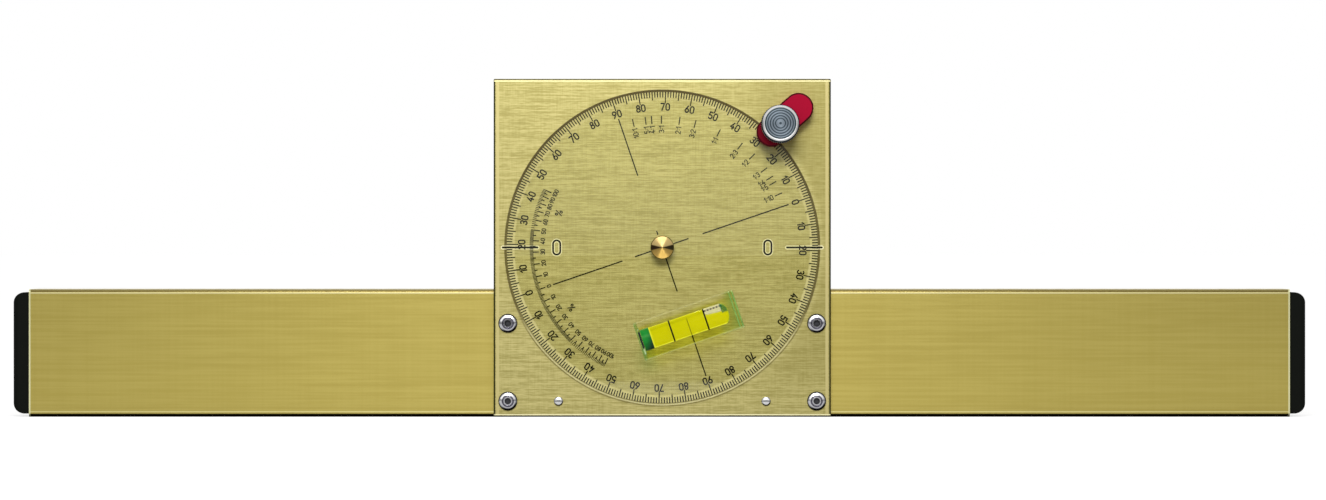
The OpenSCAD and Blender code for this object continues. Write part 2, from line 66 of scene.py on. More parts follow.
# How many clear surfaces a ray may pass: through the dial, the vial, back again and on to a lamp
CLEAR_SURFACES = 32

# Print on the back of the dial
PRINT_GAP = 0.005 * MM
PRINT_THICKNESS = 0.02 * MM
LABEL_STROKE = 0.5 * MM
SMALL_STROKE = 0.32 * MM
SIGN_STROKE = 0.38 * MM
TICK_STROKE = 0.41 * MM
FINE_STROKE = 0.24 * MM
LINE_STROKE = 0.46 * MM

# Degree scale
DEGREE_TICK_END = 60 * MM
DEGREE_TICK_START = {1: 57.8 * MM, 5: 56.8 * MM, 10: 55.5 * MM}
DEGREE_LABEL_RADIUS = 54.2 * MM
DEGREE_LABEL_HEIGHT = 2.5 * MM

# Percent scales
PERCENT_FINE_TICK = (49.7 * MM, 51.1 * MM)
PERCENT_FIVE_TICK = (48.8 * MM, 50 * MM)
PERCENT_TEN_TICK = (47.6 * MM, 50 * MM)
PERCENT_LABEL_RADIUS = 46.1 * MM
PERCENT_LABEL_HEIGHT = 1.5 * MM
LAST_LABEL_SHIFT = 0.6  # degrees that the last number is moved on, clear of the one before it
PERCENT_SIGN_RADIUS = 42 * MM
PERCENT_SIGN_HEIGHT = 2.5 * MM
PERCENT_SIGN_DIRECTIONS = (142.8, 194.7)

# Ratio scale
RATIOS = (
    (10, 1), (5, 1), (4, 1), (3, 1), (2, 1), (3, 2), (1, 1),
    (2, 3), (1, 2), (1, 3), (1, 4), (1, 5), (1, 10),
)
RATIO_TICK = (47.7 * MM, 50.8 * MM)
RATIO_LABEL_END = 46.8 * MM
RATIO_LABEL_HEIGHT = 1.85 * MM

# Lines through the pivot: direction in degrees, start and end
DIAL_LINES = (
    (0, 16.4 * MM, 51.5 * MM),
    (0, 4.6 * MM, 10.7 * MM),
    (180, 4.6 * MM, 11.1 * MM),
    (180, 16.2 * MM, 44.5 * MM),
    (90, 5.2 * MM, 6.8 * MM),
    (90, 29.2 * MM, 52.3 * MM),
    (270, 4.6 * MM, 17.9 * MM),
    (270, 28.4 * MM, 52.3 * MM),
)

# Vial
LIQUID_RADIUS = 4.07 * MM
TIP_LENGTH = 2.2 * MM  # length of the liquid's round end
TIP_STEPS = 8
LIQUID_SIDES = 96
BUBBLE_RADIUS = 4.1 * MM
BUBBLE_FLOOR = (1.75 * MM, 1.0 * MM)  # how far its flat side lies above the vial's axis, left and right
BUBBLE_ROUNDING = 14  # the power of the curve that rounds its ends: more is squarer
BUBBLE_END = 0.02  # share of its width that is left at its ends
BUBBLE_STEPS = 24
BUBBLE_SIDES = 16
BORE_MARGIN = 0.1 * MM
GLUE_GAP = 0.02 * MM  # how far the block is lifted off the dial

SAME_PLACE = 0.001 * MM
HEAD_REACH = 20 * MM  # more than the width of a rivet's or screw's head and less than two heads' distance
ACRYLIC_SHINE = 0.039  # share of light that clear acrylic mirrors where it meets the surface straight on

# Sizes for the materials, in millimetres
BEVEL_WIDTH = 4.1
# How deep painted light reaches from a front face, as ramps: into the plate and into turned pieces
PLATE_FRONT = (0.8, 0.4)
TURNED_FACE = (1.2, 0.95)
# Painted highlights along the engraved index marks' edges, and the lines' dark shoulders: where they start
# and end, from the middle of the stroke
LINE_CORE = 0.34
LINE_HIGHLIGHT = (0.46, 0.74)
ZERO_HIGHLIGHT = (0.42, 0.66)
EDGE_SOFTNESS = 0.08
MARK_STROKE = 0.7
# Vial and knob
DASH_PITCH = 1.2  # of the painted line of broken reflections in the bubble
PLUG_MIDDLE = -16.8  # where the plug's middle lies along the vial
KNOB_CENTRE_UP = 0.2  # how far above its middle the knob's rings seem to lie

# Studio light, as levels where white is 1
DIFFUSE_LEVEL = 0.6  # on matt surfaces
FRONT_LIGHT_LEVEL = 0.95  # in reflections: above and below in front
BELT_LEVEL = 0.35  # above and below elsewhere
DARK_SIDE_LEVEL = 0.25  # to the left and right
# Where these begin, as ramps of a direction's slope, of its Y and of its distance from Y
DARK_SIDE_SLOPE = (0.15, 0.27)
FRONT_LIGHT_REACH = (-0.37, -0.53)
BACK_LIGHT_REACH = (0.14, 0.31)
CAMERA_SHADE = (0.07, 0.21)

LAMP_PLACE = Vector((-0.03, -0.55, 0.42))
LAMP_TARGET = Vector((0, 0, 0.065))
LAMP_SIZE = (0.4, 0.16)
LAMP_POWER = 2.6  # watts

FLOOR_REACH = 40
FLOOR_GAP = 0.05 * MM
FLOOR_GLOW = 0.705
FLOOR_SHINE = 0.7
# Where the floor shines in reflections, as ramps in millimetres: beside, under and in front of the part
FLOOR_SIDES = (270, 420)
FLOOR_UNDER = (10, 20)
FLOOR_FRONT = (-450, -350)


# Places

pivot = Vector(joints["dial_turn"]["pos_m"])
vial_axis = Vector(joints["bubble_travel"]["axis"]).normalized()
front_axis = Vector((0, -1, 0))
across_axis = front_axis.cross(vial_axis)
plate_low, plate_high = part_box("face_plate")
dial_low, dial_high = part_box("dial_disc")
block_low, block_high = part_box("vial_block")
block_middle = (block_low + block_high) / 2

# In millimetres, for the materials
dial_radius = (dial_high.x - dial_low.x) / 2 / MM
bevel_start = dial_radius - BEVEL_WIDTH


def axes_at(origin):
    """A frame turned with the dial: X along the vial, Y across it and Z towards the viewer."""
    turn = Matrix((vial_axis, across_axis, front_axis)).transposed().to_4x4()
    return Matrix.Translation(origin) @ turn


dial_back = axes_at(Vector((pivot.x, dial_high.y, pivot.z)))
vial_frame = axes_at(block_middle)
to_vial = vial_frame.inverted()


def in_vial(verts):
    """The places of vertices in the vial's frame."""
    return [to_vial @ vert.co for vert in verts]


def box_middle(node):
    low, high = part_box(node)
    return (low + high) / 2


def front_middle(node):
    """The middle of a piece's front face."""
    middle = box_middle(node)
    middle.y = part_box(node)[0].y
    return middle


# Node materials


class Value:
    """What a node puts out. Numbers are reckoned with as usual, and each step is a node."""

    def __init__(self, builder, socket):
        self.builder = builder
        self.socket = socket

    def __add__(self, other):
        return self.builder.math("ADD", self, other)

    def __sub__(self, other):
        return self.builder.math("SUBTRACT", self, other)

    def __rsub__(self, other):
        return self.builder.math("SUBTRACT", other, self)

    def __mul__(self, other):
        return self.builder.math("MULTIPLY", self, other)

    def __truediv__(self, other):
        return self.builder.math("DIVIDE", self, other)

    def __abs__(self):
        return self.builder.math("ABSOLUTE", self)

    def remap(self, low, high):
        """Turns a value from 0 to 1 into one from low to high."""
        return self.builder.add("MapRange", {"Value": self, "To Min": low, "To Max": high})

    def ramp(self, start, end):
        """Rises smoothly from 0 at start to 1 at end."""
        inputs = {"Value": self, "From Min": start, "From Max": end}
        return self.builder.add("MapRange", inputs, interpolation_type="SMOOTHSTEP")

    def window(self, low, high, soft):
        """1 between low and high, 0 outside, with soft edges."""
        return self.ramp(low - soft, low + soft) * self.ramp(high + soft, high - soft)


class Nodes:
    """Adds nodes to one node tree. Inputs are plain values or what other nodes put out."""

    def __init__(self, tree):
        self.tree = tree

    def node(self, kind, inputs=None, **settings):
        node = self.tree.nodes.new("ShaderNode" + kind)
        for name, value in settings.items():
            setattr(node, name, value)
        for name, value in (inputs or {}).items():
            self.feed(node.inputs[name], value)
        return node

    def add(self, kind, inputs=None, output=0, **settings):
        """Adds a node and returns one of its outputs."""
        return Value(self, self.node(kind, inputs, **settings).outputs[output])

    def feed(self, socket, value):
        if isinstance(value, Value):
            self.tree.links.new(value.socket, socket)
        elif socket.type == "RGBA" and len(value) == 3:
            socket.default_value = (*value, 1)
        else:
            socket.default_value = value

    def math(self, operation, first, second=0.0):
        return self.add("Math", {0: first, 1: second}, operation=operation)

    def most(self, first, *others):
        """The largest of several values."""
        for other in others:
            first = self.math("MAXIMUM", first, other)
        return first

    def blend(self, share, first, second):
        """Mixes two colours."""
        return self.add("Mix", {0: share, 6: first, 7: second}, 2, data_type="RGBA")

    def paint(self, colour, *layers):
        """Paints colours over one another. A layer is the share that it covers and its colour."""
        for share, shade in layers:
            colour = self.blend(share, colour, shade)
        return colour

    def mix(self, share, first, second):
        """Mixes two shaders."""
        return self.add("MixShader", {0: share, 1: first, 2: second})

    def pick(self, ray, yes, no):
        """One level for one kind of ray and another for the rest."""
        return self.add("Mix", {0: self.add("LightPath", output=ray), 2: no, 3: yes}, data_type="FLOAT")

    def split(self, vector):
        """The X, Y and Z of a vector."""
        return [Value(self, socket) for socket in self.node("SeparateXYZ", {0: vector}).outputs]

    def along_x(self, value):
        """A vector of a length along X."""
        return self.add("CombineXYZ", {"X": value})

    def noise(self, size, detail=2.0, seed=0.0, vector=None):
        """Noise with grains of one size, or of a size along each axis, in millimetres.

        Where a vector is given, the size is in the vector's own units.
        """
        sizes = size if isinstance(size, tuple) else (size,) * 3
        unit = 1 if vector else MM
        scale = tuple(1 / (length * unit) for length in sizes)
        place = vector or self.add("TexCoord", output="Object")
        mapping = self.add("Mapping", {"Vector": place, "Scale": scale, "Location": (seed,) * 3})
        return self.add("TexNoise", {"Vector": mapping, "Scale": 1.0, "Detail": detail}, "Fac")

    def place_from(self, centre):
        """The place measured from a point, in millimetres."""
        place = self.add("TexCoord", output="Object")
        moved = self.add("VectorMath", {0: place, 1: tuple(centre)}, operation="SUBTRACT")
        return self.add("VectorMath", {0: moved, "Scale": 1 / MM}, operation="SCALE")

    def parts_from(self, centre):
        """The place measured from a point: X, Y and Z."""
        return self.split(self.place_from(centre))

    def along(self, centre, axis):
        """The place measured from a point along an axis."""
        inputs = {0: self.place_from(centre), 1: tuple(axis)}
        return self.add("VectorMath", inputs, "Value", operation="DOT_PRODUCT")

    def length(self, first, second):
        """The length of the diagonal of two sides."""
        return self.math("SQRT", first * first + second * second)

    def distance(self, centre):
        """The distance from a point, seen from the front."""
        x, _, z = self.parts_from(centre)
        return self.length(x, z)

    def outside(self, centre, half_x, half_z):
        """The distance from a level or upright line of a length, seen from the front."""
        x, _, z = self.parts_from(centre)
        return self.length(self.most(abs(x) - half_x, 0.0), self.most(abs(z) - half_z, 0.0))


class Look(Nodes):
    """A node material built round one Principled shader."""

    def __init__(self, name, **sockets):
        self.material = bpy.data.materials.new(name)
        self.material.use_nodes = True
        super().__init__(self.material.node_tree)
        self.surface = self.tree.nodes["Principled BSDF"]
        self.body = Value(self, self.surface.outputs[0])
        for socket, value in sockets.items():
            self.drive(socket.replace("_", " "), value)

    def drive(self, socket, value):
        """Sets one of the shader's sockets."""
        self.feed(self.surface.inputs[socket], value)

    def bump(self, height, distance, strength=1.0):
        """Raises the surface by up to distance where height is 1."""
        inputs = {"Height": height, "Distance": distance * MM, "Strength": strength}
        self.drive("Normal", self.add("Bump", inputs))

    def show(self, shader):
        self.feed(self.tree.nodes["Material Output"].inputs[0], shader)

    def lamps_see(self, seen, tint):
        """Lets the lamps shine through with a tint, while everything else sees a shader."""
        clear = self.add("BsdfTransparent", {"Color": tint})
        self.show(self.mix(self.add("LightPath", output="Is Shadow Ray"), seen, clear))

    def polished_film(self, tint, share=1.0):
        """A clear polished surface with a tint. share is how much of its reflection is kept."""
        clear = self.add("BsdfTransparent", {"Color": tint})
        gloss = self.add("BsdfGlossy", {"Color": (1, 1, 1), "Roughness": 0.0})
        facing = self.add("LayerWeight", {"Blend": 0.5}, "Facing")
        grazing = self.math("POWER", facing, 5.0)
        return self.mix(grazing.remap(ACRYLIC_SHINE, 1.0) * share, clear, gloss)


def islands(mesh):
    """The separate pieces of a mesh, as sets of vertices."""
    seen = set()
    for first in mesh.verts:
        if first in seen:
            continue
        island, edge = {first}, [first]
        while edge:
            vert = edge.pop()
            near = {link.other_vert(vert) for link in vert.link_edges} - island
            island |= near
            edge += near
        seen |= island
        yield island


def mark_edges(look, colour):
    """Painted highlights along the edges that the cutter left round the index marks, and dark shoulders
    that widen the inked lines.
    """
    mesh = bmesh.new()
    mesh.from_mesh(nodes["index_marks"].data)
    bmesh.ops.remove_doubles(mesh, verts=mesh.verts, dist=SAME_PLACE)
    highlights, cores = [], []
    for island in islands(mesh):
        xs = [vert.co.x for vert in island]
        zs = [vert.co.z for vert in island]
        centre = ((min(xs) + max(xs)) / 2, 0, (min(zs) + max(zs)) / 2)
        half_x, half_z = (max(xs) - min(xs)) / 2 / MM, (max(zs) - min(zs)) / 2 / MM
        if half_x > half_z:
            distance = look.outside(centre, half_x - half_z, 0)
            highlights.append(distance.window(*LINE_HIGHLIGHT, EDGE_SOFTNESS))
            cores.append(distance.ramp(LINE_CORE + EDGE_SOFTNESS, LINE_CORE - EDGE_SOFTNESS))
        else:
            ring = look.outside(centre, 0, half_z - half_x) - (half_x - MARK_STROKE / 2)
            highlights.append(abs(ring).window(*ZERO_HIGHLIGHT, EDGE_SOFTNESS))
    mesh.free()
    pale, dark = (0.85, 0.8, 0.5), (0.03, 0.028, 0.02)
    return look.paint(colour, (look.most(*highlights), pale), (look.most(*cores), dark))


def brushed_gold(name, pale, deep, pitch, length, roughness):
    """Gold anodised aluminium with a grain that runs along X."""
    look = Look(name, Metallic=0.85, Anisotropic=0.6, Specular_IOR_Level=0.3)
    long_lines = look.noise((length, 60, pitch), 3.0, 1.7)
    short_lines = look.noise((0.25 * length, 60, 1.2 * pitch), 2.0, 4.1)
    cross_lines = look.noise((1.6 * pitch, 60, length), 2.0, 6.2)
    cloud = look.noise((45, 45, 12), 2.0, 8.3)
    lines = long_lines * 0.5 + short_lines * 0.35 + cross_lines * 0.15
    grain = look.blend(lines.ramp(0.38, 0.62), deep, pale)
    colour = look.blend(cloud * 0.2, grain, tuple(0.85 * part for part in pale))
    look.drive("Base Color", colour)
    look.drive("Roughness", lines.remap(roughness - 0.05, roughness + 0.05))
    look.bump(short_lines, 0.002, 0.3)
    look.drive("Tangent", look.add("CombineXYZ", {"Z": 1.0}))
    return look, colour


def striped(look, place, colour, stripes, share=1.0):
    """Paints stripes across a place. A stripe is where it starts and ends, its softness and its colour."""
    layers = [(place.window(start, end, soft) * share, shade) for start, end, soft, shade in stripes]
    return look.paint(colour, *layers)


def rim_light(look, colour):
    """Painted light and shade that the dial's bevel throws on the plate: a pale ring with a dark line, or
    bright ones below.
    """
    x, _, z = look.parts_from(pivot)
    distance = look.length(x, z)
    ring = (bevel_start + 0.3, dial_radius - 0.8, 0.3, (0.8, 0.74, 0.36))
    share = z.ramp(-0.3 * dial_radius, 0.7 * dial_radius).remap(0.42, 0.12)
    colour = striped(look, distance, colour, (ring,), share)
    below = z.ramp(-0.35 * dial_radius, -0.6 * dial_radius)
    dark = (0.08, 0.06, 0.015)
    colour = striped(look, distance, colour, (
        (dial_radius - 0.95, dial_radius - 0.55, 0.1, dark),
        (dial_radius - 0.4, dial_radius, 0.1, (0.9, 0.86, 0.55)),
        (dial_radius + 0.15, dial_radius + 0.55, 0.1, dark),
    ), below * 0.5)
    above = 1.0 - below
    strength = z.ramp(0, 0.6 * dial_radius).remap(0.75, 0.97)
    line = (dial_radius - 0.85, dial_radius + 0.12, 0.15, dark)
    return striped(look, distance, colour, (line,), above * strength)


def plate_edges(look, colour):
    """Painted highlights and shade along the plate's broken edges: bright lines, dark where they turn away
    from the light.
    """
    x, _, z = look.parts_from((plate_low + plate_high) / 2)
    half = (plate_high.x - plate_low.x) / 2 / MM
    colour = striped(look, abs(x), colour, (
        (half - 2.1, half - 1.0, 0.2, (0.52, 0.45, 0.19)),
        (half - 0.65, half + 1, 0.12, (0.04, 0.04, 0.01)),
    ))
    return striped(look, z, colour, (
        (half - 1.1, half - 0.55, 0.1, (0.74, 0.69, 0.36)),
        (half - 0.38, half + 1, 0.1, (0.1, 0.09, 0.03)),
        (-half + 0.3, -half + 0.75, 0.1, (0.9, 0.84, 0.5)),
        (-half - 1, -half + 0.18, 0.06, (0.06, 0.05, 0.012)),
    ))


def plate_gold():
    """The face plate's finish: painted shade darkens its right beyond the dial, and painted light and shade
    lie on its front alone.
    """
    pale, deep = (0.52, 0.46, 0.185), (0.33, 0.288, 0.09)
    look, colour = brushed_gold("plate gold", pale, deep, pitch=0.36, length=12, roughness=0.4)
    x, _, z = look.parts_from(pivot)
    # painted shade: darker to the right beyond the dial, less so at the very bottom
    beyond = look.length(x, z).ramp(dial_radius, dial_radius + 3)
    corner = z.ramp(-45, -58).remap(1.0, 0.35)
    right = x.ramp(10, 55) * beyond * corner
    painted = look.blend(right * 0.42, colour, (0.25, 0.215, 0.05))
    # painted light and shade from the dial's bevel, along the broken edges and round the index marks
    for effect in (rim_light, plate_edges, mark_edges):
        painted = effect(look, painted)
    _, depth, _ = look.parts_from(plate_low)
    look.drive("Base Color", look.blend(depth.ramp(*PLATE_FRONT), colour, painted))
    return look.material


def bar_gold():
    """The bar's finish: smoother than the plate's, bare at its cut ends, with painted highlights,
    reflections and shade along its edges.
    """
    pale, deep = (0.555, 0.455, 0.118), (0.51, 0.41, 0.097)
    look, colour = brushed_gold("bar gold", pale, deep, pitch=0.8, length=90, roughness=0.34)
    low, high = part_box("bar_profile")
    x, y, z = look.parts_from((low + high) / 2)
    half = (high.x - low.x) / 2 / MM
    half_height = (high.z - low.z) / 2 / MM
    face = (low.y - high.y) / 2 / MM
    front = y.ramp(face + 1.6, face + 1.1)
    # painted reflections, highlights and shade along the rounded long edges: brown and dark at the top,
    # bright lines inside, near black at the bottom
    colour = striped(look, z, colour, (
        (half_height - 0.35, half_height + 1, 0.1, (0.42, 0.36, 0.2)),
        (half_height - 1.0, half_height - 0.55, 0.12, (0.09, 0.06, 0.02)),
        (half_height - 1.75, half_height - 1.2, 0.12, (0.8, 0.72, 0.36)),
        (-half_height + 1.75, -half_height + 2.2, 0.1, (0.8, 0.72, 0.3)),
        (-half_height - 1, -half_height + 1.2, 0.15, (0.012, 0.01, 0.004)),
    ), front)
    cut = abs(x).ramp(half - 0.75, half - 0.45)
    look.drive("Base Color", look.blend(cut, colour, (0.9, 0.88, 0.5)))
    return look.material


def turned_metal(name, centre, bright, dark, pitch, roughness, bands, streak, shades=None):
    """Metal turned on a lathe: fine rings round a centre, which lies in its front face.

    streak is how far they draw out the light. The bands, painted light and shade, lie on the front face
    alone.
    """
    look = Look(name, Metallic=1.0, Anisotropic=streak, Anisotropic_Rotation=0.25)
    distance = look.distance(centre)
    _, depth, _ = look.parts_from(centre)
    face = depth.ramp(*TURNED_FACE)
    rings = look.noise((pitch, 1, 1), 3.0, 2.2, look.along_x(distance))
    mottle = look.noise(2.5, 2.0, 5.0)
    colour = look.paint(dark, (rings, bright), (mottle * 0.3, dark))
    colour = shades(look, colour) if shades else colour
    look.drive("Base Color", look.blend(face, colour, striped(look, distance, colour, bands)))
    look.drive("Roughness", rings.remap(roughness - 0.05, roughness + 0.08))
    look.bump(rings, 0.004, 0.4)
    look.drive("Tangent", look.add("Tangent", direction_type="RADIAL", axis="Y"))
    return look.material


def lit_halves(look, colour):
    """Painted reflection of the studio on a turned face: pale above, golden below and dark at both sides.
    """
    x, _, z = look.parts_from(pivot)
    slope = z / look.most(abs(x), 0.15)
    streaks = look.noise((0.3, 1, 1), 2.0, 3.0, look.along_x(slope))
    golden = look.blend(streaks, (0.45, 0.26, 0.04), (0.64, 0.43, 0.12))
    sides = look.blend(x.ramp(-0.5, 0.5), (0.05, 0.018, 0.014), (0.04, 0.035, 0.015))
    upper, lower = slope.ramp(0.2, 0.32), slope.ramp(-0.2, -0.32)
    face = look.paint(sides, (upper, (0.93, 0.67, 0.27)), (lower, golden))
    return look.blend(0.92, colour, face)


def brass(name, shades=None):
    # the dark band is painted shade round the rim of the pivot screw's head
    return turned_metal(
        name, front_middle("pivot_screw"), bright=(0.95, 0.78, 0.36), dark=(0.8, 0.6, 0.22),
        pitch=0.25, roughness=0.3, bands=((4.25, 5, 0.1, (0.12, 0.1, 0.02)),), streak=1.0, shades=shades,
    )


def knob_steel():
    """The knob, with painted light and shade: five dark grooves, a dark ring, a white highlight on its
    chamfer and a dark wall.
    """
    # painted shade in the grooves, in the ring and at the wall, and a painted highlight on the chamfer
    groove = (0.05, 0.07, 0.085)
    bands = [(0, 0.5, 0.15, groove)]
    bands += [(start, start + 0.45, 0.12, groove) for start in (1.65, 2.65, 3.65, 4.65)]
    bands += [
        (5.5, 5.95, 0.12, (0.03, 0.055, 0.06)),
        (6.05, 6.85, 0.08, (1.0, 1.0, 1.0)),
        (6.9, 9, 0.06, (0.015, 0.02, 0.03)),
    ]
    return turned_metal(
        "turned steel", front_middle("clamp_knob") + Vector((0, 0, KNOB_CENTRE_UP * MM)),
        bright=(0.33, 0.385, 0.44), dark=(0.165, 0.2, 0.235),
        pitch=0.5, roughness=0.42, bands=bands, streak=0.35,
    )


def plated(name, bright, dark, roughness, shades=None):
    """Plated or bare metal with faint spots and rubs. shades paints light and shade on its colour."""
    look = Look(name, Metallic=1.0)
    spots = look.noise(0.8, 3.0, 1.0)
    rubs = look.noise((6, 6, 0.4), 2.0, 6.0)
    share = spots * 0.5 + rubs * 0.5
    colour = look.blend(share, dark, bright)
    look.drive("Base Color", shades(look, colour) if shades else colour)
    look.drive("Roughness", share.remap(roughness - 0.06, roughness + 0.08))
    look.bump(spots, 0.004, 0.3)
    return look.material


def from_nearest(look, node):
    """The place measured from the nearest of round heads of one size, which stand in a row or a rectangle.

    Returns its X and Z, a head's radius and where the heads' fronts lie.
    """
    low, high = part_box(node)
    points = [vert.co for vert in nodes[node].data.vertices]
    lowest_left = [point for point in points if (point - low).xz.length < HEAD_REACH]
    radius = (max(point.x for point in lowest_left) - low.x) / 2 / MM
    offsets = []
    for place, size in zip(look.parts_from((low + high) / 2)[::2], (high - low).xz / MM):
        offsets.append(place - look.math("SIGN", place) * (size / 2 - radius))
    return offsets, radius, min(point.y for point in points)


def rivet_shades(look, colour):
    """A rivet's head, with painted shade in its dark core, groove and rim, a painted highlight arc above
    and a painted black shadow crescent below.
    """
    (x, z), radius, _ = from_nearest(look, "blind_rivets")
    distance = look.length(x, z)
    light = z - x * 0.35
    colour = striped(look, distance, colour, (
        (0, 1.25, 0.15, (0.01, 0.01, 0.012)),
        (1.85, 2.2, 0.15, (0.14, 0.13, 0.18)),
        (radius - 0.35, radius + 1, 0.15, (0.05, 0.045, 0.03)),
    ))
    shade = (radius - 0.85, radius + 1, 0.2, (0.006, 0.005, 0.004))
    colour = striped(look, distance, colour, (shade,), light.ramp(-0.4, -2.6))
    glint = (radius - 1.35, radius - 0.55, 0.15, (1.0, 1.0, 1.0))
    return striped(look, distance, colour, (glint,), light.ramp(0.3, 2.2))


def screw_shades(look, colour):
    """A small screw's head, with painted shade: dark in its slot, a dark rim and a black crescent below."""
    (x, z), radius, front = from_nearest(look, "locating_screws")
    distance = look.length(x, z)
    _, depth, _ = look.parts_from((0, front, 0))
    # painted shade deep in the slot
    slot = depth.ramp(0.4, 0.55) * abs(z).ramp(0.4, 0.3)
    colour = look.blend(slot, colour, (0.02, 0.018, 0.015))
    light = z - x * 0.3
    shade = (radius - 0.45, radius + 1, 0.12, (0.02, 0.018, 0.01))
    return striped(look, distance, colour, (shade,), light.ramp(0, -1.2))


def plastic(name, pale, deep, roughness, grain, relief, shades=None):
    """Moulded plastic with a fine grain. shades paints light and shade on its colour."""
    look = Look(name, Specular_IOR_Level=0.08)
    fine = look.noise(grain, 3.0, 3.0)
    cloud = look.noise(8, 2.0, 9.0)
    share = fine * 0.4 + cloud * 0.6
    colour = look.blend(share, deep, pale)
    look.drive("Base Color", shades(look, colour) if shades else colour)
    look.drive("Roughness", fine.remap(roughness - 0.06, roughness + 0.08))
    look.bump(fine, relief, 0.5)
    return look.material


def shoe_shades(look, colour):
    """Painted shade on the shoe: its dark edge, and its nose in the knob's shade."""
    knob = box_middle("clamp_knob")
    heel = box_middle("clamp_shoe") - knob
    heel = Vector((heel.x, 0, heel.z)).normalized()
    nose = look.along(knob, heel).ramp(-3, -6)
    _, depth, _ = look.parts_from(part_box("clamp_shoe")[0])
    facing = abs(look.split(look.add("TexCoord", output="Normal"))[1])
    edge = facing.ramp(0.95, 0.8) * depth.ramp(1.2, 0.7)
    return look.paint(colour, (nose * 0.8, (0.14, 0.001, 0.008)), (edge, (0.07, 0.001, 0.005)))


def vial_places(look):
    """The place measured from the block's middle: along the vial and across it."""
    return look.along(block_middle, vial_axis), look.along(block_middle, across_axis)


def plug_green():
    """The plug: translucent green, with painted light above and painted shade, nearly black, below."""
    look = Look("plug green", Specular_IOR_Level=0.1, Roughness=0.3)
    along, across = vial_places(look)
    cloud = look.noise(1.6, 2.0, 3.0)
    bright = look.blend(cloud, (0.008, 0.2, 0.03), (0.02, 0.3, 0.07))
    shade_slope = across - (along - PLUG_MIDDLE) * 1.6
    colour = look.blend(shade_slope.ramp(1.5, -5.5), bright, (0.015, 0.055, 0.05))
    look.drive("Base Color", colour)
    look.bump(cloud, 0.01, 0.4)
    look.lamps_see(look.body, (0.45, 0.7, 0.45))
    return look.material


def ink():
    """Matt black ink that is a little uneven."""
    look = Look("ink", Specular_IOR_Level=0.1)
    patches = look.noise(0.6, 2.0, 2.0)
    look.drive("Base Color", look.blend(patches, (0.004, 0.004, 0.002), (0.014, 0.013, 0.007)))
    look.drive("Roughness", patches.remap(0.5, 0.7))
    look.lamps_see(look.body, (1, 1, 1))
    return look.material


def dial_acrylic():
    """Clear acrylic: flat in the middle, and dulled towards lamps on its bevel and rim."""
    look = Look("dial acrylic")
    distance = look.distance(pivot)
    waves = look.noise(12, 1.0, 4.0)
    flat = look.blend(waves, (0.975, 0.98, 0.94), (0.98, 0.985, 0.95))
    bevel = distance.ramp(bevel_start - 0.1, bevel_start + 0.1)
    rim = distance.ramp(dial_radius - 1.2, dial_radius - 0.1)
    tint = look.paint(flat, (bevel, (0.985, 0.985, 0.97)), (rim, (0.96, 0.955, 0.93)))
    shade = look.paint((0.98, 0.98, 0.95), (bevel, (0.93, 0.93, 0.91)), (rim, (0.78, 0.77, 0.74)))
    look.lamps_see(look.polished_film(tint, bevel.remap(1.0, 0.35)), shade)
    return look.material


def vial_acrylic():
    """Clear acrylic with painted light: it glows green towards its ends, where the liquid's light comes
    out.
    """
    look = Look("vial acrylic", Roughness=0.2, Specular_IOR_Level=0.3)
    along, across = vial_places(look)
    side = abs(across)
    waves = look.noise(12, 1.0, 4.0)
    low_side = across.ramp(-3.9, -4.5)
    # the tints paint the liquid's yellow and green light into the acrylic round the bore and at its ends
    tint = look.paint(
        look.blend(waves, (0.995, 0.995, 0.96), (1.0, 1.0, 0.97)),
        (across.ramp(6.0, 4.6), (0.93, 0.945, 0.62)),
        (low_side, (0.94, 0.965, 0.52)),
        (low_side * along.ramp(10, 13), (0.87, 0.93, 0.66)),
        (along.ramp(14.5, 18.5), (0.79, 0.91, 0.66)),
        (along.ramp(-18.5, -19.2), (0.76, 0.9, 0.7)),
    )
    grain = look.noise(2.2, 2.0, 7.0)
    # painted highlights: green lines at the ends
    green_highlight_lines = look.most(
        along.window(18.3, 18.6, 0.1),
        along.window(19.5, 19.85, 0.1),
        along.window(-19.95, -19.75, 0.1) * 0.7,
    )
    # a painted shadow at the plug's end and painted glints beside it
    plug_shadow = along.window(-19.35, -18.7, 0.1) * side.ramp(3.9, 3.5)
    beside_plug = look.most(across.window(-5.2, -2.9, 0.3), across.window(4.2, 5.0, 0.2) * 0.6)
    glint = along.window(-19.3, -18.75, 0.15) * beside_plug
    half = max(point.y for point in in_vial(nodes["vial_block"].data.vertices)) / MM
    # painted highlights along the block's long edges, stronger at the lower one
    edge = side.window(half - 0.45, half - 0.1, 0.1)
    look.drive("Base Color", look.paint(
        look.blend(grain, (0.16, 0.33, 0.07), (0.26, 0.52, 0.15)),
        (plug_shadow, (0.01, 0.015, 0.02)),
        (glint, (0.42, 0.56, 0.3)),
        (edge, (0.75, 0.72, 0.35)),
    ))
    painted = look.most(
        green_highlight_lines * grain.remap(0.4, 0.9), plug_shadow, glint, edge * across.ramp(0, -1).remap(0.2, 0.42)
    )
    seen = look.mix(painted, look.polished_film(tint, 0.4), look.body)
    look.lamps_see(seen, (0.99, 0.99, 0.96))
    return look.material


def wetted_wall():
    """The drilled wall where liquid or plug touch it: nothing is seen of it."""
    look = Look("wetted wall", Alpha=0.0, Specular_IOR_Level=0.0)
    waves = look.noise(5, 1.0, 4.0)
    look.drive("Base Color", look.blend(waves, (0.9, 1.0, 0.9), (1.0, 1.0, 1.0)))
    return look.material


